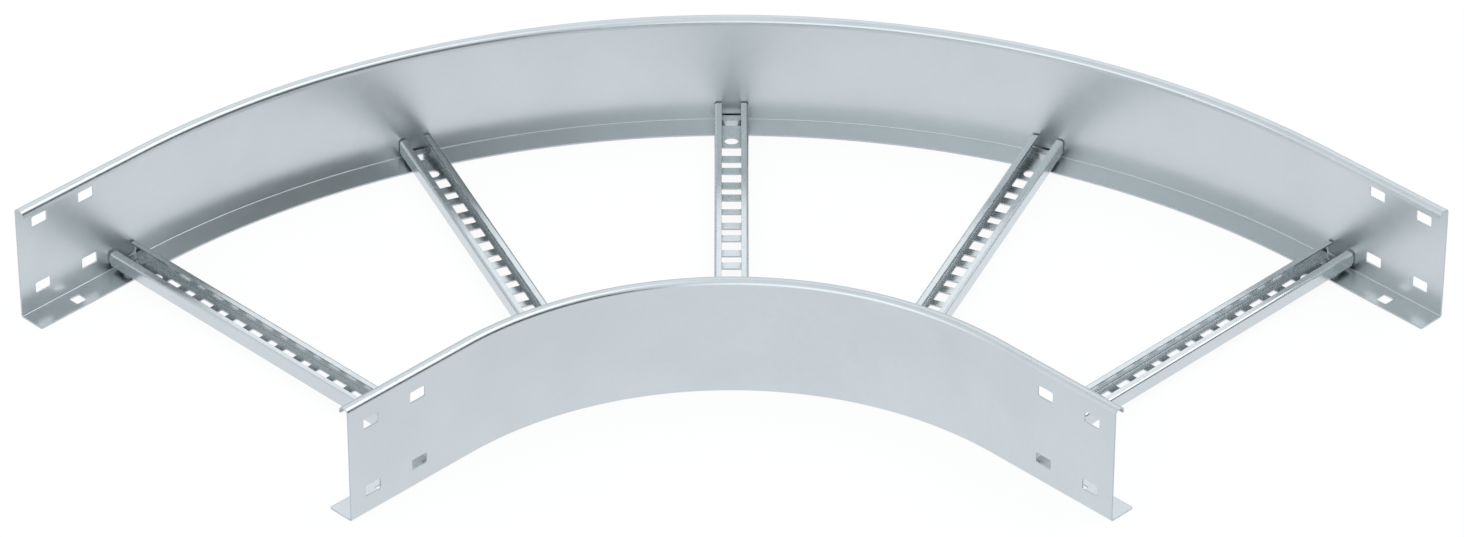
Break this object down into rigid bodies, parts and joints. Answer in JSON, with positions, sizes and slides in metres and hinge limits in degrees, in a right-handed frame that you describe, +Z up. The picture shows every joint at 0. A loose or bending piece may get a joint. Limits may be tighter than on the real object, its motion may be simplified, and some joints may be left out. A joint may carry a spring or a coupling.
{
  "type": "cable ladder bend",
  "caption": "Flat right-angle bend of a cable ladder: folded steel side rails with flanges and punched ends, joined by perforated C-profile rungs that carry cables round a corner.",
  "frame": {"origin": "on the floor plane under the flanges, in the middle of the part's square plan box", "axes": "+Z up out of the ladder's open top; end A faces -Y and end B faces -X, and the bend's centre lies towards -X and -Y"},
  "size_m": [0.8414, 0.8414, 0.11],
  "materials": {
    "side_rail": "strip-galvanised sheet steel, satin, faintly blue",
    "rung": "strip-galvanised sheet steel, satin, a little darker in the channel"
  },
  "bodies": {
    "root": {"outer_rail": "side_rail", "inner_rail": "side_rail", "rung_1": "rung", "rung_2": "rung", "rung_3": "rung", "rung_4": "rung", "rung_5": "rung"}
  },
  "joints": []
}
